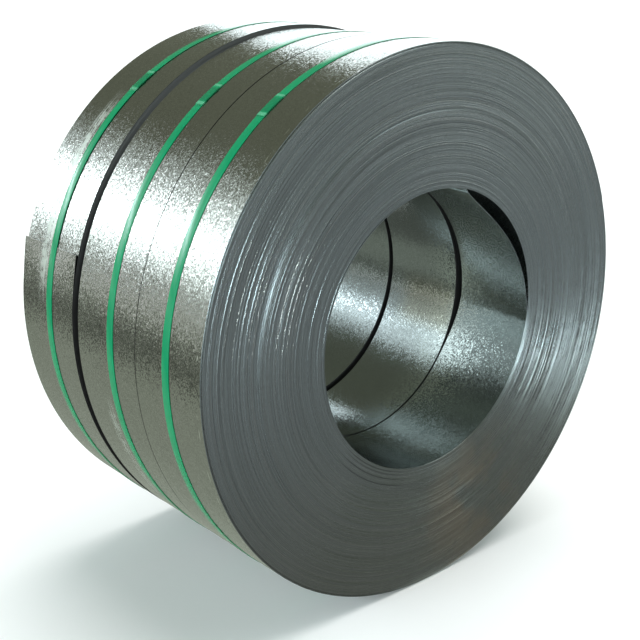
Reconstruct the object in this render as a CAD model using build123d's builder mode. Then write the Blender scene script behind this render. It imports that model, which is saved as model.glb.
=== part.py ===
"""Galvanised steel coil slit into three narrow coils that lie side by side.

The coil's axis runs along Y, with the front end towards -Y. The origin is on
the floor under the middle of the coil, +Z is up and sizes are in millimetres.
Angles are in degrees from +X towards +Z, as seen from the front end.
"""

import os
from math import cos, radians, sin

from build123d import *

# Steel strip
strip_width = 181.0
strip_thickness = 1.0

# Wound coils
bore_diameter = 508.0
outer_diameter = 996.0
back_extra_turns = 3
front_gap = 4.0
back_gap = 13.0
middle_yaw = 0.2

# Groups of turns from the bore out: how many, and how far they have slid towards the back
turn_groups = [(132, -0.8), (117, 0.3)]
outermost_turns = 2
outermost_slide = 1.4

# Innermost turn of the front coil, sprung inwards at the upper right, most at its front edge
loose_turn_start = 72.0
loose_turn_end = -8.0
loose_turn_front_drop = 24.0
loose_turn_back_drop = 4.0

# Inner end of the front coil's strip, and how far round the step beside it runs out
inner_tail_angle = -93.0
inner_tail_run_out = 70.0

# Outer ends of the strips, and how far round the step under each one runs out
front_tail_angle = 20.0
middle_tail_angle = 5.0
back_tail_angle = 163.7
tail_run_out = 80.0

# Corners of the back coil's outer end, sprung up on both sides of the strap
front_corner_lift = 4.0
back_corner_lift = 5.0
corner_start_lift = 0.3
corner_strap_clearance = 1.0
corner_run = 8.0

# Plastic straps, each placed from the middle of its coil towards the back
strap_width = 19.0
strap_thickness = 1.0
strap_lap_start = 121.5
strap_lap_end = 127.5
front_strap_offset = 4.3
middle_strap_offset = -13.2
back_strap_offset = -7.1

bore_radius = bore_diameter / 2
outer_radius = outer_diameter / 2
back_outer_radius = outer_radius + back_extra_turns * strip_thickness

total_width = 3 * strip_width + front_gap + back_gap
front_middle = (strip_width - total_width) / 2
middle_middle = front_middle + strip_width + front_gap
back_middle = middle_middle + strip_width + back_gap


def polar(radius, angle):
    """Point at a radius and angle in a plane across the axis."""
    return (radius * cos(radians(angle)), radius * sin(radians(angle)))


def axial_plane(middle, radius, yaw=0.0):
    """Level plane through a coil's axis, at the middle of its width: radius across, axis up."""
    return Plane(
        origin=(0, middle, radius + strap_thickness),
        x_dir=(cos(radians(yaw)), sin(radians(yaw)), 0),
        z_dir=(0, 0, 1),
    )


def cross_plane(axial, offset):
    """Plane across a coil's axis, facing the front, at an offset from the middle of its width."""
    return Plane(
        origin=axial.origin + axial.y_dir * offset,
        x_dir=axial.x_dir,
        z_dir=-axial.y_dir,
    )


def coil_axis(axial):
    """Axis that a coil is wound about."""
    return Axis(axial.origin, axial.y_dir)


def edge_outline(radius):
    """Radius and slide along the strip's edges, stepping from one group of turns to the next."""
    last_edge = radius - outermost_turns * strip_thickness
    points = []
    edge = bore_radius
    while edge < last_edge:
        turns, slide = turn_groups[len(points) // 2 % len(turn_groups)]
        next_edge = min(edge + turns * strip_thickness, last_edge)
        points += [(edge, slide), (next_edge, slide)]
        edge = next_edge
    return points + [(last_edge, outermost_slide), (radius, outermost_slide)]


def wound_section(axial, radius):
    """Half section of a wound coil: every turn is one strip wide, so both ends step alike."""
    outline = edge_outline(radius)
    front = [(r, slide - strip_width / 2) for r, slide in outline]
    back = [(r, slide + strip_width / 2) for r, slide in outline]
    with BuildSketch(axial) as section:
        with BuildLine():
            Polyline(*front, *back[::-1], close=True)
        make_face()
    return section.sketch


def tail_step(axial, radius, angle):
    """Cut that leaves a step where the outermost turn ends and runs out along the turn under it."""
    run_out_end = angle - tail_run_out
    with BuildSketch(cross_plane(axial, strip_width)) as step:
        with BuildLine():
            under = ThreePointArc(
                polar(radius - strip_thickness, angle),
                polar(radius - strip_thickness / 2, angle - tail_run_out / 2),
                polar(radius, run_out_end),
            )
            clear = CenterArc((0, 0), radius + strip_thickness, run_out_end, tail_run_out)
            Line(under @ 1, clear @ 0)
            Line(clear @ 1, under @ 0)
        make_face()
    return step.sketch


def sprung_tail(axial, radius, offset, lift):
    """Section of the back coil's outer end, curling up from the turn under it."""
    root = back_tail_angle + corner_run
    half_way = back_tail_angle + corner_run / 2
    with BuildSketch(cross_plane(axial, offset)) as tail:
        with BuildLine():
            under = ThreePointArc(
                polar(radius - strip_thickness, root),
                polar(radius - strip_thickness + lift / 2, half_way),
                polar(radius - strip_thickness + lift, back_tail_angle),
            )
            over = ThreePointArc(
                polar(radius, root),
                polar(radius + lift / 2, half_way),
                polar(radius + lift, back_tail_angle),
            )
            Line(under @ 0, over @ 0)
            Line(under @ 1, over @ 1)
        make_face()
    return tail.sketch


def loose_turn(axial, offset, drop):
    """Section of the front coil's innermost turn where it has sprung off the wall of the bore."""
    half_way = (loose_turn_start + loose_turn_end) / 2
    root = bore_radius + strip_thickness
    crest = bore_radius - drop
    with BuildSketch(cross_plane(axial, offset)) as turn:
        with BuildLine():
            wall_side = ThreePointArc(
                polar(root + strip_thickness, loose_turn_start),
                polar(crest + strip_thickness, half_way),
                polar(root + strip_thickness, loose_turn_end),
            )
            bore_side = ThreePointArc(
                polar(root, loose_turn_start),
                polar(crest, half_way),
                polar(root, loose_turn_end),
            )
            Line(wall_side @ 0, bore_side @ 0)
            Line(wall_side @ 1, bore_side @ 1)
        make_face()
    return turn.sketch


os.makedirs("parts", exist_ok=True)

front_plane = axial_plane(front_middle, outer_radius)
middle_plane = axial_plane(middle_middle, outer_radius, middle_yaw)
back_plane = axial_plane(back_middle, back_outer_radius)

# Front coil, whose innermost turn ends at the bottom and stands off the wall at the upper right
with BuildPart() as coil_front:
    revolve(wound_section(front_plane, outer_radius), axis=coil_axis(front_plane))
    front_step = tail_step(front_plane, outer_radius, front_tail_angle)
    extrude(front_step, amount=2 * strip_width, mode=Mode.SUBTRACT)
    inner_run_end = inner_tail_angle - inner_tail_run_out
    with BuildSketch(cross_plane(front_plane, strip_width)):
        with BuildLine():
            behind = ThreePointArc(
                polar(bore_radius + strip_thickness, inner_tail_angle),
                polar(bore_radius + strip_thickness / 2, inner_tail_angle - inner_tail_run_out / 2),
                polar(bore_radius, inner_run_end),
            )
            open_side = CenterArc(
                (0, 0), bore_radius - strip_thickness, inner_run_end, inner_tail_run_out
            )
            Line(behind @ 1, open_side @ 0)
            Line(open_side @ 1, behind @ 0)
        make_face()
    extrude(amount=2 * strip_width, mode=Mode.SUBTRACT)
    inner_slide = turn_groups[0][1]
    loose_front = loose_turn(front_plane, inner_slide - strip_width / 2, loose_turn_front_drop)
    loose_back = loose_turn(front_plane, inner_slide + strip_width / 2, loose_turn_back_drop)
    loft([loose_front, loose_back], ruled=True)
coil_front.part.label = "coil_front"
export_step(coil_front.part, "parts/coil_front.step")

# Middle coil, turned a little out of line with the other two
with BuildPart() as coil_middle:
    revolve(wound_section(middle_plane, outer_radius), axis=coil_axis(middle_plane))
    middle_step = tail_step(middle_plane, outer_radius, middle_tail_angle)
    extrude(middle_step, amount=2 * strip_width, mode=Mode.SUBTRACT)
coil_middle.part.label = "coil_middle"
export_step(coil_middle.part, "parts/coil_middle.step")

# Back coil, a few turns larger, whose outer end springs up at its corners beside the strap
with BuildPart() as coil_back:
    revolve(wound_section(back_plane, back_outer_radius), axis=coil_axis(back_plane))
    back_step = tail_step(back_plane, back_outer_radius, back_tail_angle)
    extrude(back_step, amount=2 * strip_width, mode=Mode.SUBTRACT)
    strap_reach = strap_width / 2 + corner_strap_clearance
    corners = [
        (back_strap_offset - strap_reach, outermost_slide - strip_width / 2, front_corner_lift),
        (back_strap_offset + strap_reach, outermost_slide + strip_width / 2, back_corner_lift),
    ]
    for start, end, lift in corners:
        flat_corner = sprung_tail(back_plane, back_outer_radius, start, 0)
        extrude(flat_corner, amount=start - end, mode=Mode.SUBTRACT)
        corner_start = sprung_tail(back_plane, back_outer_radius, start, corner_start_lift)
        corner_end = sprung_tail(back_plane, back_outer_radius, end, lift)
        loft([corner_start, corner_end], ruled=True)
coil_back.part.label = "coil_back"
export_step(coil_back.part, "parts/coil_back.step")

# Straps, each drawn round its coil and welded where its ends lap
straps = [
    ("strap_front", front_plane, outer_radius, front_strap_offset),
    ("strap_middle", middle_plane, outer_radius, middle_strap_offset),
    ("strap_back", back_plane, back_outer_radius, back_strap_offset),
]
for name, axial, radius, offset in straps:
    with BuildPart() as strap:
        strap_edge = cross_plane(axial, offset + strap_width / 2)
        outside = radius + strap_thickness
        with BuildSketch(strap_edge):
            Circle(outside)
            Circle(radius, mode=Mode.SUBTRACT)
        extrude(amount=strap_width)
        with BuildSketch(strap_edge):
            lap_span = strap_lap_end - strap_lap_start
            with BuildLine():
                lap_under = CenterArc((0, 0), outside, strap_lap_start, lap_span)
                lap_over = CenterArc((0, 0), outside + strap_thickness, strap_lap_start, lap_span)
                Line(lap_under @ 0, lap_over @ 0)
                Line(lap_under @ 1, lap_over @ 1)
            make_face()
        extrude(amount=strap_width)
    strap.part.label = name
    export_step(strap.part, f"parts/{name}.step")
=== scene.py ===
"""Dresses a galvanised steel coil, slit into three narrow coils that lie side by side.

The coil's axis runs along Y with the front end towards -Y, the floor is at z = 0, and
sizes are in metres. Angles go from +X towards +Z, as seen from the front end.
"""

import random
from math import atan2, cos, degrees, hypot, pi, radians, sin, tan, tau

import bmesh
import bpy
from bpy.props import FloatProperty, FloatVectorProperty, IntProperty, PointerProperty
from mathutils import Matrix, Vector


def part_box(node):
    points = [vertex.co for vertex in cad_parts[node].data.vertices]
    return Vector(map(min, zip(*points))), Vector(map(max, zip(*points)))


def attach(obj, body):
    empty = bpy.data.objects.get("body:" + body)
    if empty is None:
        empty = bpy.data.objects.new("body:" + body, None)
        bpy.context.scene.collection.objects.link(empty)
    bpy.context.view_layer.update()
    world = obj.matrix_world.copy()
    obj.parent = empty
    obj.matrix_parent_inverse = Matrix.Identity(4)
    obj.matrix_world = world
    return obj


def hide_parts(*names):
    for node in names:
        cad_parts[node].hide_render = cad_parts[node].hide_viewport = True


bl_info = {
    "name": "Slit Steel Coil",
    "version": (1, 0, 0),
    "blender": (4, 5, 0),
    "location": "3D View > Sidebar > Steel Coil",
    "description": "Winds three slit coils of galvanised strip, straps them and sets the stage",
    "category": "Object",
}

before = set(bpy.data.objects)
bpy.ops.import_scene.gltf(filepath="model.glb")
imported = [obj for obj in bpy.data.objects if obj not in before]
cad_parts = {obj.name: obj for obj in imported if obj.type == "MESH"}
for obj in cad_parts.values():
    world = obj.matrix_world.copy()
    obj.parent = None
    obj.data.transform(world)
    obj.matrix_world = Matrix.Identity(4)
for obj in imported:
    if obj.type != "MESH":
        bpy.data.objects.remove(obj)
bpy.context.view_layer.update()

MM = 0.001
MERGE_REACH = 0.002 * MM

# Places of the two finishes on a coil's pieces
ZINC, SLIT_EDGE = 0, 1


def middle_across(node):
    """Middle of a CAD node along the coil's axis."""
    low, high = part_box(node)
    return (low.y + high.y) / 2


class CoilSizes(bpy.types.PropertyGroup):
    """Sizes of the wound coils"""

    strip_width: FloatProperty(
        name="Strip width", description="Width of the slit strip",
        default=181 * MM, min=0.01, unit="LENGTH", precision=4)
    strip_thickness: FloatProperty(
        name="Strip thickness", description="Thickness of the strip, and so of each turn",
        default=1 * MM, min=0.0002, unit="LENGTH", precision=4)
    bore_radius: FloatProperty(
        name="Bore radius", description="Radius of the eye of the coils",
        default=254 * MM, min=0.05, unit="LENGTH", precision=4)
    outer_radius: FloatProperty(
        name="Outer radius", description="Outer radius of the front and middle coils",
        default=498 * MM, min=0.06, unit="LENGTH", precision=4)
    back_outer_radius: FloatProperty(
        name="Back outer radius", description="Outer radius of the back coil",
        default=501 * MM, min=0.06, unit="LENGTH", precision=4)
    front_middle: FloatProperty(
        name="Front coil", description="Place of the front coil's middle along the axis",
        default=-189.5 * MM, unit="LENGTH", precision=4)
    middle_middle: FloatProperty(
        name="Middle coil", description="Place of the middle coil's middle along the axis",
        default=-4.5 * MM, unit="LENGTH", precision=4)
    back_middle: FloatProperty(
        name="Back coil", description="Place of the back coil's middle along the axis",
        default=189.5 * MM, unit="LENGTH", precision=4)
    middle_yaw: FloatProperty(
        name="Middle yaw", description="How far the middle coil is turned out of line",
        default=radians(0.2), subtype="ANGLE")
    outermost_slide: FloatProperty(
        name="Outermost slide", description="How far the outermost turns have slid to the back",
        default=1.4 * MM, unit="LENGTH", precision=4)
    edge_unevenness: FloatProperty(
        name="Edge unevenness", description="How far single turns stand back from their group",
        default=0.06 * MM, min=0, unit="LENGTH", precision=5)
    loose_turn_drop: FloatProperty(
        name="Loose turn drop", description="How far the innermost turn stands off the bore wall",
        default=24.5 * MM, min=0, unit="LENGTH", precision=4)
    front_corner_lift: FloatProperty(
        name="Front corner lift", description="Lift of the outer end's corner at the front",
        default=4 * MM, min=0, unit="LENGTH", precision=4)
    back_corner_lift: FloatProperty(
        name="Back corner lift", description="Lift of the outer end's corner at the back",
        default=5 * MM, min=0, unit="LENGTH", precision=4)
    steps_round: IntProperty(
        name="Steps round", description="Steps round each wound coil",
        default=168, min=24, max=256)


class StrapSizes(bpy.types.PropertyGroup):
    """Sizes of the plastic straps"""

    width: FloatProperty(
        name="Width", description="Width of each strap",
        default=19 * MM, min=0.004, unit="LENGTH", precision=4)
    thickness: FloatProperty(
        name="Thickness", description="Thickness of each strap",
        default=1 * MM, min=0.0003, unit="LENGTH", precision=4)
    edge_rounding: FloatProperty(
        name="Edge rounding", description="Rounding of the strap's long edges",
        default=0.35 * MM, min=0.00005, unit="LENGTH", precision=5)
    lap_start: FloatProperty(
        name="Lap start", description="Angle at which the welded lap starts",
        default=radians(121.5), subtype="ANGLE")
    lap_end: FloatProperty(
        name="Lap end", description="Angle at which the welded lap ends",
        default=radians(127.5), subtype="ANGLE")
    front_place: FloatProperty(
        name="Front strap", description="Place of the front strap along the axis",
        default=middle_across("strap_front"), unit="LENGTH", precision=4)
    middle_place: FloatProperty(
        name="Middle strap", description="Place of the middle strap along the axis",
        default=middle_across("strap_middle"), unit="LENGTH", precision=4)
    back_place: FloatProperty(
        name="Back strap", description="Place of the back strap along the axis",
        default=middle_across("strap_back"), unit="LENGTH", precision=4)


class CoilColours(bpy.types.PropertyGroup):
    """Colours of the coil and of the stage"""

    zinc: FloatVectorProperty(
        name="Zinc", description="Colour of the zinc on the strip's faces",
        default=(0.36, 0.36, 0.335), size=3, min=0, max=1, subtype="COLOR")
    slit_edge: FloatVectorProperty(
        name="Slit edge", description="Colour of the strip's bare slit edges",
        default=(0.255, 0.296, 0.300), size=3, min=0, max=1, subtype="COLOR")
    strap: FloatVectorProperty(
        name="Strap", description="Colour of the plastic straps",
        default=(0.005, 0.215, 0.088), size=3, min=0, max=1, subtype="COLOR")
    floor: FloatVectorProperty(
        name="Floor", description="Colour of the studio floor",
        default=(0.86, 0.86, 0.86), size=3, min=0, max=1, subtype="COLOR")


# Shader wiring


class Wire:
    """A node's output socket that takes part in arithmetic."""

    def __init__(self, graph, socket):
        self.graph = graph
        self.socket = socket

    def __add__(self, other):
        return self.graph.maths("ADD", self, other)

    __radd__ = __add__

    def __sub__(self, other):
        return self.graph.maths("SUBTRACT", self, other)

    def __rsub__(self, other):
        return self.graph.maths("SUBTRACT", other, self)

    def __mul__(self, other):
        return self.graph.maths("MULTIPLY", self, other)

    __rmul__ = __mul__

    def __abs__(self):
        return self.graph.maths("ABSOLUTE", self)


class Finish:
    """A procedural material and the nodes that it is wired from."""

    def __init__(self, name):
        self.material = bpy.data.materials.new(name)
        self.material.use_nodes = True
        self.tree = self.material.node_tree
        self.tree.nodes.clear()

    def node(self, kind, settings=None, inputs=None, output=0):
        """Adds a node, sets it up, fills or links its sockets and returns one output."""
        made = self.tree.nodes.new(kind)
        for key, value in (settings or {}).items():
            setattr(made, key, value)
        for key, value in (inputs or {}).items():
            if isinstance(value, Wire):
                self.tree.links.new(value.socket, made.inputs[key])
            else:
                made.inputs[key].default_value = value
        return Wire(self, made.outputs[output]) if made.outputs else None

    def place(self):
        """Object coordinates."""
        return self.node("ShaderNodeTexCoord", output="Object")

    def parts(self, vector):
        """The three values of a vector."""
        split = self.node("ShaderNodeSeparateXYZ", inputs={0: vector}).socket.node
        return [Wire(self, socket) for socket in split.outputs]

    def vector(self, x, y, z):
        """A vector from three values."""
        return self.node("ShaderNodeCombineXYZ", inputs={0: x, 1: y, 2: z})

    def maths(self, operation, *values):
        """One step of arithmetic on values."""
        return self.node("ShaderNodeMath", {"operation": operation}, dict(enumerate(values)))

    def on_vectors(self, operation, *values, output=0, **named):
        """One step of arithmetic on vectors."""
        inputs = {**dict(enumerate(values)), **named}
        return self.node("ShaderNodeVectorMath", {"operation": operation}, inputs, output)

    def scaled(self, vector, factor):
        """A vector made longer or shorter."""
        return self.on_vectors("SCALE", vector, Scale=factor)

    def leaning(self, *leans):
        """The surface's own direction, leaning by each of these vectors."""
        facing = self.node("ShaderNodeNewGeometry", output="Normal")
        for lean in leans:
            facing = self.on_vectors("ADD", facing, lean)
        return self.on_vectors("NORMALIZE", facing)

    def noise(self, place, scale, detail=2.0, roughness=0.5, output="Fac"):
        """Soft noise from nothing to one."""
        return self.node(
            "ShaderNodeTexNoise", None,
            {"Vector": place, "Scale": scale, "Detail": detail, "Roughness": roughness}, output)

    def crystals(self, place, scale):
        """Small cells, each with a colour of its own."""
        return self.node(
            "ShaderNodeTexVoronoi", {"feature": "F1"},
            {"Vector": place, "Scale": scale, "Randomness": 1.0}, "Color")

    def steps(self, value, low, high, low_to=0.0, high_to=1.0):
        """Takes a value smoothly from one range to another, held at the ends."""
        return self.node(
            "ShaderNodeMapRange", {"interpolation_type": "SMOOTHSTEP", "clamp": True},
            {"Value": value, 1: low, 2: high, 3: low_to, 4: high_to})

    def near(self, value, centre, reach, soft):
        """One within reach of a value, falling to nothing over a soft edge."""
        return self.steps(abs(value - centre), reach, reach + soft, 1.0, 0.0)

    def blend(self, factor, first, second, kind="MIX"):
        """Mixes two colours."""
        return self.node(
            "ShaderNodeMix", {"data_type": "RGBA", "blend_type": kind, "clamp_factor": True},
            {0: factor, 6: first, 7: second}, output=2)

    def surface(self, **sockets):
        """Ends the material in one shader with these sockets."""
        names = {key: key.replace("_", " ") for key in sockets}
        shader = self.node(
            "ShaderNodeBsdfPrincipled", None, {names[key]: value for key, value in sockets.items()})
        self.node("ShaderNodeOutputMaterial", None, {"Surface": shader})
        return self.material


def rgba(colour, factor=1.0):
    """A colour made lighter or darker, with its alpha."""
    return tuple(min(1.0, channel * factor) for channel in colour[:3]) + (1.0,)


def round_the_axis(finish, axis_height):
    """Angle in degrees, radius, place along the axis, and the direction away from the axis."""
    place = finish.place()
    x, y, z = finish.parts(place)
    height = z - axis_height
    angle = finish.maths("ARCTAN2", height, x) * (180 / pi)
    flat = finish.vector(x, 0.0, height)
    radius = finish.on_vectors("LENGTH", flat, output="Value")
    outward = finish.on_vectors("NORMALIZE", flat)
    return place, angle, radius, y, outward


def zinc_finish(colours, sizes, straps):
    """Small-spangled zinc: crystals that lean each their own way, smears beside the straps."""
    finish = Finish("galvanised_zinc")
    place, angle, radius, y, _ = round_the_axis(finish, sizes.outer_radius + straps.thickness)
    turned = finish.maths("FLOORED_MODULO", angle, 360.0)
    in_bore = finish.steps(radius, 0.30, 0.31, 1.0, 0.0)

    # Crystals of two sizes and the sheet's long waves turn the gloss
    crystals = finish.crystals(place, 620.0)
    large_crystals = finish.crystals(place, 430.0)
    both = finish.on_vectors("ADD", crystals, large_crystals)
    crystal_lean = finish.on_vectors("SUBTRACT", both, (1.0, 1.0, 1.0))
    patches = finish.noise(place, 14.0, 3.0, 0.6)
    spangle = (0.06 * patches + 0.09) * (1.0 - 0.35 * in_bore)
    stretched = finish.node(
        "ShaderNodeMapping", None, {"Vector": place, "Scale": (5.0, 9.0, 5.0)})
    waves = finish.noise(stretched, 1.0, 2.0, 0.5, "Color")
    wave_lean = finish.on_vectors("SUBTRACT", waves, (0.5, 0.5, 0.5))
    normal = finish.leaning(
        finish.scaled(crystal_lean, spangle), finish.scaled(wave_lean, 0.035))

    # Colour from crystal to crystal, with dark specks and dull clouds
    grain_gloss, grain_tone, grain_speck = finish.parts(crystals)
    tone = finish.steps(grain_tone, 0.1, 0.9)
    base = finish.blend(tone, rgba(colours.zinc, 0.92), rgba(colours.zinc, 1.08))
    specks = finish.steps(grain_speck, 0.93, 0.99) * finish.steps(patches, 0.4, 0.65)
    base = finish.blend(specks * 0.6, base, rgba(colours.zinc, 0.35))
    cloud = finish.noise(place, 3.2, 3.0, 0.55)
    dull_zinc = rgba((0.33, 0.34, 0.30))
    base = finish.blend(finish.steps(cloud, 0.42, 0.7) * 0.4, base, dull_zinc)

    # Painted light and shade in the bore: lighter on the front coil, standing in for light
    # reflected between the turns, and darker towards the back, standing in for shade deep in the
    # bore; with one faint brown patch
    lit_front_tint, shaded_back_tint = (1.22, 1.34, 1.40, 1.0), (0.66, 0.72, 0.77, 1.0)
    bore_painted_light = finish.blend(finish.steps(y, -0.16, 0.0), lit_front_tint, shaded_back_tint)
    base = finish.blend(in_bore, base, bore_painted_light, "MULTIPLY")
    # A faint brown patch in the bore, a little below the axis at the right
    brown_patch = in_bore * finish.near(angle, -13.0, 5.0, 10.0) * finish.near(y, -0.03, 0.04, 0.06)
    brown_patch_tint = (1.08, 1.0, 0.88, 1.0)
    base = finish.blend(brown_patch, base, brown_patch_tint, "MULTIPLY")

    # Whitish smears that lie beside the straps
    ragged = finish.noise(place, 60.0, 3.0, 0.65)
    long_streaks = finish.noise(finish.vector(angle * 0.06, y * 260.0, 0.0), 1.0, 2.0)
    back_smear = finish.near(y, straps.back_place + 0.026, 0.006, 0.014)
    back_smear = back_smear * finish.near(angle, 152.0, 14.0, 12.0)
    middle_smear = finish.near(y, straps.middle_place + 0.028, 0.004, 0.014)
    middle_smear = middle_smear * finish.near(turned, 205.0, 9.0, 8.0) * 0.6
    smear = (back_smear + middle_smear) * finish.steps(ragged + long_streaks, 0.75, 1.2)
    smear = smear * (1.0 - in_bore)
    whitish = rgba((0.62, 0.70, 0.62))
    base = finish.blend(smear * 0.5, base, whitish)

    # Fine bright scuffs that run round the front coil beside its edge
    wander = (finish.noise(finish.vector(angle * 0.11, 0.0, 3.0), 1.0, 1.0) - 0.5) * 0.004
    breaks = finish.noise(finish.vector(angle * 0.35, 1.0, 0.0), 1.0)
    scuff = finish.near(y + wander, sizes.front_middle - 0.079, 0.0004, 0.0007)
    scuff = scuff * finish.steps(breaks, 0.5, 0.62)
    bright_scuff = rgba((0.78, 0.79, 0.76))
    base = finish.blend(scuff * 0.8, base, bright_scuff)

    # The loose inner turn is duller than the rest of the bore
    loose_turn = in_bore * finish.near(angle, 30.0, 30.0, 16.0)
    loose_turn = loose_turn * finish.steps(y, -0.11, -0.1, 1.0, 0.0)
    dullness = 0.05 * finish.steps(cloud, 0.4, 0.7) + 0.3 * smear + 0.09 * loose_turn
    roughness = 0.11 + 0.09 * grain_gloss + dullness
    return finish.surface(
        Base_Color=base, Roughness=roughness, Metallic=1.0 - 0.55 * smear, Normal=normal)


def slit_edge_finish(colours, sizes, straps):
    """Slit edges wound together: rings of slightly different steel, drawn out round the axis."""
    finish = Finish("slit_edges")
    axis_height = sizes.outer_radius + straps.thickness
    place, angle, radius, y, outward = round_the_axis(finish, axis_height)
    turned = finish.maths("FLOORED_MODULO", angle, 360.0)
    height = finish.parts(place)[2]
    x, _, z = finish.parts(outward)

    def ring_noise(change, pitch, detail, roughness=0.5):
        """Noise in rings round the axis that changes slowly along each ring."""
        rings_place = finish.vector(x * change, radius * pitch, z * change)
        return finish.noise(rings_place, 1.0, detail, roughness)

    fine = ring_noise(0.7, 1700.0, 2.0, 0.6)
    lines = ring_noise(0.25, 640.0, 1.0)
    rings = ring_noise(0.7, 210.0, 3.0, 0.6)
    bands = ring_noise(0.5, 32.0, 2.0)

    # Edges that lean away from the axis or, below zero, towards it
    raised = finish.steps(lines, 0.5, 0.72) * finish.near(turned, 168.0, 22.0, 26.0)
    lean = raised * 0.26 + (0.47 - fine) * 0.85 + (rings - 0.5) * 0.05
    lean = lean - finish.steps(fine, 0.47, 0.64) * 0.64
    normal = finish.leaning(finish.scaled(outward, lean))

    # Colour from ring to ring
    steel = colours.slit_edge
    base = finish.blend(finish.steps(rings, 0.2, 0.8), rgba(steel, 0.94), rgba(steel, 1.06))
    base = finish.blend(finish.steps(fine, 0.58, 0.8) * 0.4, base, rgba(steel, 1.5))
    base = finish.blend(finish.steps(bands, 0.5, 0.75) * 0.2, base, rgba(steel, 0.7))

    # Painted shade: dark arcs low on the left, where single turns beside the bore stand back
    low_left = finish.near(angle, -122.0, 10.0, 14.0)
    for arc_radius in (0.2605, 0.2665, 0.2745, 0.286):
        shade_arc = finish.near(radius, arc_radius, 0.0006, 0.0009) * low_left
        base = finish.blend(shade_arc * 0.6, base, rgba(steel, 0.25))

    # Faint rust at the lower right, and painted shade that makes the steel darker and browner
    # towards the floor
    blotch = finish.noise(place, 9.0, 3.0, 0.6)
    rust_middle, rust_brown = (0.12, -0.28, 0.13), rgba((0.46, 0.36, 0.26))
    from_rust = finish.on_vectors("DISTANCE", place, rust_middle, output="Value")
    rust = finish.steps(from_rust, 0.04, 0.2, 1.0, 0.0) * finish.steps(blotch, 0.4, 0.62)
    base = finish.blend(rust * 0.35, base, rust_brown)
    low_painted_shade, no_tint = (0.66, 0.62, 0.55, 1.0), (1.0, 1.0, 1.0, 1.0)
    height_shade_tint = finish.blend(finish.steps(height, 0.05, 0.6), low_painted_shade, no_tint)
    base = finish.blend(1.0, base, height_shade_tint, "MULTIPLY")

    # Painted shade: ends that face another coil are dark and matt, and dark grey rather than
    # near-black on the outer turns at the top of one gap
    between = finish.steps(abs(y), 0.262, 0.268, 1.0, 0.0)
    gap_top = finish.steps(radius, 0.46, 0.5) * finish.steps(y, 0.0, 0.05)
    gap_top = gap_top * finish.steps(height, 0.5, 0.95)
    dark, gap_top_grey = rgba((0.02, 0.02, 0.02)), rgba((0.15, 0.16, 0.16))
    base = finish.blend(between, base, finish.blend(gap_top, dark, gap_top_grey))
    roughness = 0.21 + 0.08 * fine + 0.05 * blotch + 0.4 * between
    metal = 1.0 - 0.7 * between
    return finish.surface(Base_Color=base, Roughness=roughness, Metallic=metal, Normal=normal)


def strap_finish(colours, sizes, straps):
    """Green strap with a fine waffle pressed into it, darker in its weld and paler at its ends."""
    finish = Finish("strap_plastic")
    place, angle, _, y, _ = round_the_axis(finish, sizes.outer_radius + straps.thickness)
    along = angle * (radians(1) * sizes.outer_radius)

    lap_start, lap_end = degrees(straps.lap_start), degrees(straps.lap_end)
    weld = finish.near(angle, (lap_start + lap_end) / 2, 1.7, 0.5)
    upper_end = finish.near(angle, lap_start + 0.3, 0.15, 0.3)
    lower_end = finish.near(angle, lap_end - 0.5, 0.2, 0.35)
    waffle_pitch, rib_pitch = 2.4 * MM, 3.2 * MM
    rise = finish.maths("SINE", (along + y) * (tau / waffle_pitch))
    fall = finish.maths("SINE", (along - y) * (tau / waffle_pitch))
    ribs = finish.maths("SINE", along * (tau / rib_pitch))
    height = rise * fall * (1.0 - weld) + ribs * weld * 1.6
    normal = finish.node(
        "ShaderNodeBump", None, {"Strength": 0.12, "Distance": 0.12 * MM, "Height": height})

    clouds = finish.noise(place, 22.0, 2.0)
    scuffs = finish.noise(finish.vector(along * 18.0, y * 420.0, 0.0), 1.0, 3.0, 0.6)
    pale_scuff, pale_end = rgba((0.08, 0.36, 0.20)), rgba((0.22, 0.52, 0.36))
    base = finish.blend(clouds, rgba(colours.strap, 0.86), rgba(colours.strap, 1.12))
    base = finish.blend(finish.steps(scuffs, 0.62, 0.8) * 0.25, base, pale_scuff)
    base = finish.blend(weld * (0.65 + 0.2 * ribs), base, rgba(colours.strap, 0.55))
    base = finish.blend((upper_end + lower_end) * 0.33, base, pale_end)
    roughness = 0.09 + 0.08 * scuffs + 0.1 * weld
    return finish.surface(
        Base_Color=base, Roughness=roughness, Specular_IOR_Level=0.35, Normal=normal)


def floor_finish(colours):
    """Pale matt floor with a faint unevenness."""
    finish = Finish("pale_floor")
    mottle = finish.noise(finish.place(), 1.7, 3.0)
    base = finish.blend(mottle, rgba(colours.floor, 0.985), rgba(colours.floor, 1.015))
    return finish.surface(Base_Color=base, Roughness=0.9)


def finishes(context):
    """The three finishes of the coil, made once."""
    scene = context.scene
    makers = {
        "galvanised_zinc": zinc_finish,
        "slit_edges": slit_edge_finish,
        "strap_plastic": strap_finish,
    }
    for name, make in makers.items():
        if name not in bpy.data.materials:
            make(scene.coil_colours, scene.coil_sizes, scene.strap_sizes)
    return [bpy.data.materials[name] for name in makers]


# Shapes


def ease(share):
    """A share held between nothing and one, with soft ends."""
    share = min(1.0, max(0.0, share))
    return share * share * (3 - 2 * share)


def off_axis(point, height):
    """Distance of a point from a coil's axis."""
    return hypot(point.x, point.z - height)


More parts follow.
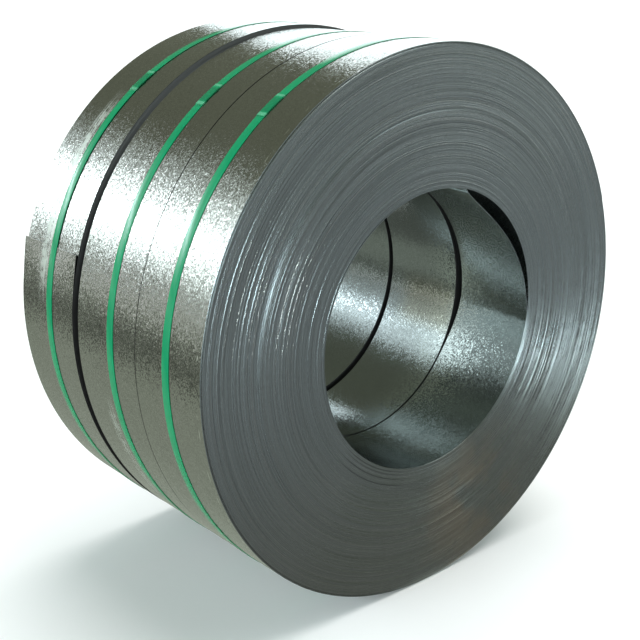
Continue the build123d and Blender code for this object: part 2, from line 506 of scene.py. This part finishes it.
def finish_piece(name, shape, materials, node=None):
    """Closes a shape, makes it a piece of the coil and lets it ride with the coil."""
    bmesh.ops.remove_doubles(shape, verts=shape.verts[:], dist=MERGE_REACH)
    bmesh.ops.recalc_face_normals(shape, faces=shape.faces[:])
    mesh = bpy.data.meshes.new(name)
    for face in shape.faces:
        face.smooth = True
    shape.to_mesh(mesh)
    shape.free()
    for material in materials:
        mesh.materials.append(material)
    piece = bpy.data.objects.new(name, mesh)
    bpy.context.scene.collection.objects.link(piece)
    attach(piece, "root")
    if node:
        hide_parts(node)


def turn_out_of_line(shape, middle, yaw):
    """Turns a shape about the upright line through its coil's middle."""
    bmesh.ops.rotate(
        shape, verts=shape.verts[:], cent=(0, middle, 0), matrix=Matrix.Rotation(yaw, 3, "Z"))


def group_slide(turn):
    """Slide of a group of turns towards the back, easing into the next group over a few turns."""
    inner_slide, outer_slide = -0.8 * MM, 0.3 * MM
    next_group, easing_turns = 132, 8
    share = ease((turn - next_group + easing_turns / 2) / easing_turns)
    return inner_slide + (outer_slide - inner_slide) * share


def turn_slides(sizes, inner, outer, seed):
    """Inner radius and slide of every turn from the bore out."""
    draw = random.Random(seed)
    count = round((outer - inner) / sizes.strip_thickness)
    turns = []
    for turn in range(count):
        stray = draw.uniform(0, 1) ** 6 * sizes.edge_unevenness
        slide = group_slide(turn) + stray
        if turn == count - 1:
            slide = sizes.outermost_slide
        turns.append((inner + turn * sizes.strip_thickness, slide))
    return turns


def end_line(turns, thickness, draw):
    """Radius and slide along the turns' edges: a crest on each turn, a groove between two."""
    first_radius, first_slide = turns[0]
    line = [(first_radius, first_slide + 0.3 * MM)]
    sunk_turn, sunk_depth = len(turns) - 3, 0.9 * MM
    for turn, (radius, slide) in enumerate(turns):
        next_slide = turns[min(turn + 1, len(turns) - 1)][1]
        if turn == sunk_turn:
            slide += sunk_depth
        crest = radius + draw.uniform(0.55, 0.85) * thickness
        groove = max(slide, next_slide) + (0.008 + 0.03 * draw.random() ** 4) * MM
        line += [(crest, slide), (radius + thickness, groove)]
    return line


def plain_end_line(turns, thickness):
    """Radius and slide along an end that faces another coil, a dozen turns to each step."""
    last_radius, last_slide = turns[-1]
    return [turns[0], *turns[6::12], turns[-1], (last_radius + thickness, last_slide)]


def sharpen_rings(shape, height):
    """Keeps the edges that run round the axis sharp, so that every turn's crest stays crisp."""
    for edge in shape.edges:
        first, second = (vert.co for vert in edge.verts)
        across = abs(first.y - second.y)
        outwards = abs(off_axis(first, height) - off_axis(second, height))
        edge.smooth = across > 1e-7 or outwards > 1e-6


def draw_back_edge_forward(shape, sizes, height):
    """Draws the front coil's inner turns forward at their back edge, where they have come loose."""
    back_edge = sizes.front_middle + sizes.strip_width / 2 - 4 * MM
    reach, farthest = 18 * MM, 13 * MM
    for vert in shape.verts:
        away = off_axis(vert.co, height) - sizes.bore_radius
        if vert.co.y > back_edge and away < reach:
            angle = degrees(atan2(vert.co.z - height, vert.co.x))
            rise = ease((angle + 36) / 34) * ease((120 - angle) / 35)
            vert.co.y -= farthest * rise * min(1.0, 1.3 * (1 - away / reach))


def wind_coil(context, name, node, middle, inner, outer, height, yaw, fine_end, seed):
    """Spins one wound coil, less its outermost turn, with a crest for each turn on its open end."""
    sizes = context.scene.coil_sizes
    zinc, slit_edges, _ = finishes(context)
    turns = turn_slides(sizes, inner, outer, seed)
    plain = plain_end_line(turns, sizes.strip_thickness)
    fine = end_line(turns, sizes.strip_thickness, random.Random(seed + 1))
    front_edge = middle - sizes.strip_width / 2
    back_edge = middle + sizes.strip_width / 2
    front = [(radius, front_edge + slide) for radius, slide in plain]
    back = [(radius, back_edge + slide) for radius, slide in plain]
    if fine_end == "front":
        front = [(radius, front_edge + slide) for radius, slide in fine]
    elif fine_end == "back":
        level = [turn[1] for turn in turns for _ in range(2)] + [turns[-1][1]]
        back = [
            (radius, back_edge + 2 * rest - slide)
            for (radius, slide), rest in zip(fine, level)
        ]

    shape = bmesh.new()
    outline = [shape.verts.new((radius, y, height)) for radius, y in front + back[::-1]]
    edges = [shape.edges.new(pair) for pair in zip(outline, outline[1:] + outline[:1])]
    bmesh.ops.spin(
        shape, geom=outline + edges, cent=(0, 0, height), axis=(0, 1, 0), dvec=(0, 0, 0),
        angle=tau, steps=sizes.steps_round, use_merge=True, use_duplicate=False)
    bmesh.ops.remove_doubles(shape, verts=shape.verts[:], dist=MERGE_REACH)
    sharpen_rings(shape, height)
    for face in shape.faces:
        radii = [off_axis(vert.co, height) for vert in face.verts]
        on_wall = max(radii) - min(radii) < 0.2 * MM
        face.material_index = ZINC if on_wall else SLIT_EDGE
    if fine_end == "front":
        draw_back_edge_forward(shape, sizes, height)
    turn_out_of_line(shape, middle, yaw)
    finish_piece(name, shape, (zinc, slit_edges), node)


def wrap_strip(shape, steps_round, steps_across, start, span, low, high, surface):
    """Lays a grid round the axis: surface gives the radius and the axis's height at each point."""
    bmesh.ops.create_grid(shape, x_segments=steps_round, y_segments=steps_across, size=0.5)
    for vert in shape.verts:
        share = vert.co.x + 0.5
        across = low + (vert.co.y + 0.5) * (high - low)
        angle = start + share * span
        radius, height = surface(share, across)
        vert.co = (radius * cos(angle), across, height + radius * sin(angle))


def thicken(shape, thickness, low, high):
    """Gives a wrapped strip its thickness, away from the axis or, below zero, towards it."""
    shape.normal_update()
    bmesh.ops.solidify(shape, geom=shape.faces[:], thickness=thickness)
    for vert in shape.verts:
        vert.co.y = min(high, max(low, vert.co.y))
    for edge in shape.edges:
        edge.smooth = edge.calc_face_angle(0.0) < radians(40)


def mark_slit_edges(shape):
    """Gives the narrow faces along a strip's two edges the finish of the slit edges."""
    for face in shape.faces:
        face.material_index = SLIT_EDGE if abs(face.normal.y) > 0.8 else ZINC


class COIL_OT_wind_coils(bpy.types.Operator):
    """Wind the three slit coils, less their loose inner and outer turns"""

    bl_idname = "steel_coil.wind_coils"
    bl_label = "Wind Coils"

    def execute(self, context):
        sizes = context.scene.coil_sizes
        strap = context.scene.strap_sizes.thickness
        thickness = sizes.strip_thickness
        plain_height = sizes.outer_radius + strap
        back_height = sizes.back_outer_radius + strap
        wind_coil(
            context, "front_coil_turns", "coil_front", sizes.front_middle,
            sizes.bore_radius + thickness, sizes.outer_radius - thickness, plain_height,
            0.0, "front", 11)
        wind_coil(
            context, "middle_coil_turns", "coil_middle", sizes.middle_middle,
            sizes.bore_radius, sizes.outer_radius - thickness, plain_height,
            sizes.middle_yaw, "none", 23)
        wind_coil(
            context, "back_coil_turns", "coil_back", sizes.back_middle,
            sizes.bore_radius, sizes.back_outer_radius - thickness, back_height,
            0.0, "back", 37)
        return {"FINISHED"}


class COIL_OT_outer_turns(bpy.types.Operator):
    """Lay the outermost turn round each coil, with the strip's outer end on it"""

    bl_idname = "steel_coil.outer_turns"
    bl_label = "Lay Outer Turns"

    def execute(self, context):
        sizes = context.scene.coil_sizes
        straps = context.scene.strap_sizes
        zinc, slit_edges, _ = finishes(context)
        thickness = sizes.strip_thickness
        half = sizes.strip_width / 2
        run_out, corner_run = radians(80), radians(8)
        dip_depth = 0.96 * thickness
        front_lift = 0.97 * sizes.front_corner_lift
        back_lift = 0.97 * sizes.back_corner_lift
        held = straps.width / 2
        rows = [
            ("front", sizes.front_middle, sizes.outer_radius, 20.0, 0.0, None),
            ("middle", sizes.middle_middle, sizes.outer_radius, 5.0, sizes.middle_yaw, None),
            ("back", sizes.back_middle, sizes.back_outer_radius, 163.7, 0.0, straps.back_place),
        ]
        for coil, middle, outer, tail_angle, yaw, strap_place in rows:
            height = outer + straps.thickness
            low = middle - half + sizes.outermost_slide
            high = middle + half + sizes.outermost_slide

            def surface(share, across):
                turned = share * tau
                dip = max(0.0, (turned - (tau - run_out)) / run_out)
                radius = outer - dip_depth * dip
                if strap_place is not None and turned < corner_run:
                    curl = (1 - turned / corner_run) ** 1.6
                    away = across - strap_place
                    if away < -held:
                        reach = (-away - held) / (strap_place - held - low)
                        radius += front_lift * reach * curl
                    elif away > held:
                        reach = (away - held) / (high - strap_place - held)
                        radius += back_lift * reach * curl
                return radius, height

            shape = bmesh.new()
            wrap_strip(shape, 360, 20, radians(tail_angle), tau, low, high, surface)
            thicken(shape, -thickness, low, high)
            turn_out_of_line(shape, middle, yaw)
            mark_slit_edges(shape)
            finish_piece(coil + "_coil_outer_turn", shape, (zinc, slit_edges))
        return {"FINISHED"}


class COIL_OT_inner_turn(bpy.types.Operator):
    """Lay the front coil's innermost turn, sprung off the bore wall at the upper right"""

    bl_idname = "steel_coil.inner_turn"
    bl_label = "Lay Inner Turn"

    def execute(self, context):
        sizes = context.scene.coil_sizes
        zinc, slit_edges, _ = finishes(context)
        thickness = sizes.strip_thickness
        height = sizes.outer_radius + context.scene.strap_sizes.thickness
        front_edge = sizes.front_middle - sizes.strip_width / 2 + group_slide(0)
        back_edge = front_edge + sizes.strip_width
        start, run_out = radians(-93), radians(70)
        dip_depth = 0.96 * thickness
        loose_start, loose_end = radians(74), radians(-8)
        drop_lost_at_back = 0.84

        def surface(share, across):
            angle = start + share * tau
            dip = max(0.0, (share * tau - (tau - run_out)) / run_out)
            radius = sizes.bore_radius + dip_depth * dip
            sprung = (loose_start - angle) / (loose_start - loose_end)
            if 0 < sprung < 1:
                depth = (across - front_edge) / sizes.strip_width
                drop = sizes.loose_turn_drop * (1 - drop_lost_at_back * depth)
                radius -= drop * sin(pi * sprung ** 0.62) ** 1.15
            return radius, height

        shape = bmesh.new()
        wrap_strip(shape, 360, 10, start, tau, front_edge, back_edge, surface)
        thicken(shape, thickness, front_edge, back_edge)
        draw_back_edge_forward(shape, sizes, height)
        mark_slit_edges(shape)
        finish_piece("front_coil_inner_turn", shape, (zinc, slit_edges))
        return {"FINISHED"}


class COIL_OT_straps(bpy.types.Operator):
    """Draw a strap round each coil and weld its ends in a lap"""

    bl_idname = "steel_coil.straps"
    bl_label = "Draw Straps"

    def execute(self, context):
        sizes = context.scene.coil_sizes
        straps = context.scene.strap_sizes
        green = finishes(context)[2]
        lap_span = straps.lap_end - straps.lap_start
        layers = [(0, 0.0, tau, 300), (1, straps.lap_start, lap_span, 12)]
        rows = [
            ("front", straps.front_place, sizes.front_middle, sizes.outer_radius, 0.0),
            ("middle", straps.middle_place, sizes.middle_middle, sizes.outer_radius,
             sizes.middle_yaw),
            ("back", straps.back_place, sizes.back_middle, sizes.back_outer_radius, 0.0),
        ]
        for coil, place, middle, outer, yaw in rows:
            height = outer + straps.thickness
            shape = bmesh.new()
            for layer, start, span, steps in layers:
                inside = outer + layer * straps.thickness
                outside = inside + straps.thickness
                made_before = set(shape.faces)
                corners = [
                    shape.verts.new((radius, place + side * straps.width / 2, height))
                    for radius, side in [(inside, -1), (outside, -1), (outside, 1), (inside, 1)]
                ]
                shape.faces.new(corners)
                bmesh.ops.bevel(
                    shape, geom=corners, offset=straps.edge_rounding, affect="VERTICES",
                    segments=3, profile=0.5, material=-1)
                section = (set(shape.faces) - made_before).pop()
                geometry = list(section.verts) + list(section.edges)
                bmesh.ops.rotate(
                    shape, verts=section.verts[:], cent=(0, 0, height),
                    matrix=Matrix.Rotation(-start, 3, "Y"))
                if layer == 0:
                    bmesh.ops.delete(shape, geom=[section], context="FACES_ONLY")
                else:
                    geometry.append(section)
                bmesh.ops.spin(
                    shape, geom=geometry, cent=(0, 0, height), axis=(0, -1, 0),
                    dvec=(0, 0, 0), angle=span, steps=steps, use_merge=layer == 0,
                    use_duplicate=False)
            for edge in shape.edges:
                edge.smooth = edge.calc_face_angle(0.0) < radians(50)
            turn_out_of_line(shape, middle, yaw)
            finish_piece(coil + "_strap", shape, (green,), "strap_" + coil)
        return {"FINISHED"}


# Stage


def soft_lamp(name, axis, distance, bearings, elevations, brightness, colour):
    """A soft box that fills a range of bearings and elevations, in degrees, seen from the coil."""
    bearing, elevation = (radians(sum(pair) / 2) for pair in (bearings, elevations))
    lamp = bpy.data.lights.new(name, "AREA")
    lamp.shape = "RECTANGLE"
    lamp.size = 2 * distance * tan(radians(bearings[1] - bearings[0]) / 2)
    lamp.size_y = 2 * distance * tan(radians(elevations[1] - elevations[0]) / 2)
    lamp.energy = brightness * lamp.size * lamp.size_y * pi
    lamp.color = colour
    body = bpy.data.objects.new(name, lamp)
    towards = Vector(
        (cos(elevation) * cos(bearing), cos(elevation) * sin(bearing), sin(elevation)))
    body.location = axis + distance * towards
    body.rotation_euler = (-towards).to_track_quat("-Z", "Y").to_euler()
    body.visible_camera = False
    bpy.context.scene.collection.objects.link(body)
    return body


def gloss_card(name, place, size, glow):
    """A lit card lying on the floor that only the gloss of the metal and the straps shows."""
    shape = bmesh.new()
    bmesh.ops.create_grid(shape, x_segments=1, y_segments=1, size=0.5)
    bmesh.ops.scale(shape, verts=shape.verts[:], vec=(*size, 1))
    bmesh.ops.translate(shape, verts=shape.verts[:], vec=place)
    mesh = bpy.data.meshes.new(name)
    shape.to_mesh(mesh)
    shape.free()
    finish = Finish(name)
    mottle = finish.noise(finish.place(), 6.0, 2.0)
    # Stronger than the brightest card, so that its colour stays below white
    strength = 4.0
    duller, brighter = rgba(glow, 0.94 / strength), rgba(glow, 1.06 / strength)
    mesh.materials.append(finish.surface(
        Base_Color=(0, 0, 0, 1), Roughness=1.0, Emission_Strength=strength,
        Emission_Color=finish.blend(mottle, duller, brighter)))
    card = bpy.data.objects.new(name, mesh)
    card.visible_camera = False
    card.visible_diffuse = False
    card.visible_shadow = False
    bpy.context.scene.collection.objects.link(card)


class COIL_OT_stage(bpy.types.Operator):
    """Set the pale floor, the soft lamps, the cards and the camera"""

    bl_idname = "steel_coil.stage"
    bl_label = "Set Stage"

    def execute(self, context):
        scene = context.scene
        shape = bmesh.new()
        bmesh.ops.create_grid(shape, x_segments=1, y_segments=1, size=40)
        mesh = bpy.data.meshes.new("floor")
        shape.to_mesh(mesh)
        shape.free()
        mesh.materials.append(floor_finish(scene.coil_colours))
        floor = bpy.data.objects.new("floor", mesh)
        scene.collection.objects.link(floor)

        world = bpy.data.worlds.new("studio")
        world.use_nodes = True
        world.node_tree.nodes["Background"].inputs["Color"].default_value = (0.20, 0.22, 0.165, 1)
        scene.world = world

        overhead = bpy.data.lights.new("overhead", "SUN")
        overhead.energy = 2.7
        overhead.angle = radians(50)
        lamp = bpy.data.objects.new("overhead", overhead)
        lamp.rotation_euler = Vector((-0.3, 0.0, -0.95)).to_track_quat("-Z", "Y").to_euler()
        scene.collection.objects.link(lamp)

        # Each lamp's distance, bearings, elevations, brightness and colour, seen from the axis
        axis = Vector((0, 0, 0.5))
        daylight, plain = (0.82, 0.94, 1.0), (1.0, 1.0, 1.0)
        lamps = [
            ("right_window", 32.0, (29.0, 57.5), (-1.0, 35.0), 2.4, daylight),
            ("left_window", 32.0, (104.0, 128.0), (5.0, 23.0), 3.2, daylight),
            ("left_window_top", 32.0, (104.0, 130.0), (23.0, 31.0), 0.8, daylight),
            ("left_window_core", 31.5, (104.0, 128.0), (13.5, 17.0), 12.0, daylight),
            ("far_left_window", 32.0, (128.0, 144.0), (14.0, 41.0), 2.0, daylight),
            ("far_left_window_low", 32.0, (130.0, 144.0), (2.0, 14.0), 0.8, daylight),
            ("near_left_window", 32.0, (196.0, 238.0), (6.0, 36.0), 1.9, daylight),
            ("near_right_window", 32.0, (300.0, 340.0), (30.0, 50.0), 1.9, daylight),
            ("low_front", 4.25, (258.6, 269.4), (-6.5, 4.3), 31.0, daylight),
            ("right_front", 5.0, (313.0, 317.0), (-5.5, 1.0), 2.0, plain),
        ]
        for name, *settings in lamps:
            soft_lamp(name, axis, *settings)
        side_fill = soft_lamp("side_fill", axis, 8.0, (168, 186), (5, 30), 12.0, daylight)
        side_fill.visible_glossy = False

        # Each card's place, size and glow
        cards = [
            ("floor_card", (-3.1, 3.6, 0.004), (5.9, 7.6), (0.39, 0.44, 0.365)),
            ("front_card", (0.0, -5.185, 0.004), (16.0, 9.8), (0.325, 0.335, 0.335)),
            ("bright_card", (4.3, 3.9, 0.004), (8.0, 7.0), (1.6, 1.75, 1.8)),
            ("behind_card", (-0.02, 0.8, 0.006), (0.46, 0.9), (0.17, 0.19, 0.16)),
            ("dark_card", (-1.75, 2.2, 0.008), (0.9, 5.2), (0.06, 0.07, 0.05)),
        ]
        for name, place, size, glow in cards:
            gloss_card(name, place, size, glow)

        camera = bpy.data.cameras.new("camera")
        camera.lens = 65.0
        camera.sensor_width = 36.0
        camera.clip_end = 200
        eye = bpy.data.objects.new("camera", camera)
        eye.location = (-1.4018, -1.6145, 1.1631)
        target = Vector((-0.0240, 0.0, 0.4537))
        eye.rotation_euler = (target - eye.location).to_track_quat("-Z", "Y").to_euler()
        scene.collection.objects.link(eye)
        scene.camera = eye
        scene.view_settings.view_transform = "Standard"
        return {"FINISHED"}


class COIL_PT_panel(bpy.types.Panel):
    """Lists the coil's sizes, colours and steps"""

    bl_label = "Steel Coil"
    bl_idname = "COIL_PT_panel"
    bl_space_type = "VIEW_3D"
    bl_region_type = "UI"
    bl_category = "Steel Coil"

    def draw(self, context):
        scene = context.scene
        for group in (scene.coil_sizes, scene.strap_sizes, scene.coil_colours):
            box = self.layout.box()
            for name in group.__annotations__:
                box.prop(group, name)
        for operator in OPERATORS:
            self.layout.operator(operator.bl_idname)


OPERATORS = (
    COIL_OT_wind_coils,
    COIL_OT_outer_turns,
    COIL_OT_inner_turn,
    COIL_OT_straps,
    COIL_OT_stage,
)
CLASSES = (CoilSizes, StrapSizes, CoilColours) + OPERATORS + (COIL_PT_panel,)


def register():
    """Makes the coil's classes and settings known."""
    for cls in CLASSES:
        bpy.utils.register_class(cls)
    bpy.types.Scene.coil_sizes = PointerProperty(type=CoilSizes)
    bpy.types.Scene.strap_sizes = PointerProperty(type=StrapSizes)
    bpy.types.Scene.coil_colours = PointerProperty(type=CoilColours)


def unregister():
    """Takes the coil's classes and settings away again."""
    del bpy.types.Scene.coil_colours
    del bpy.types.Scene.strap_sizes
    del bpy.types.Scene.coil_sizes
    for cls in reversed(CLASSES):
        bpy.utils.unregister_class(cls)


def main():
    """Builds the coil and its stage."""
    register()
    bpy.ops.steel_coil.wind_coils()
    bpy.ops.steel_coil.outer_turns()
    bpy.ops.steel_coil.inner_turn()
    bpy.ops.steel_coil.straps()
    bpy.ops.steel_coil.stage()


if __name__ == "__main__":
    main()
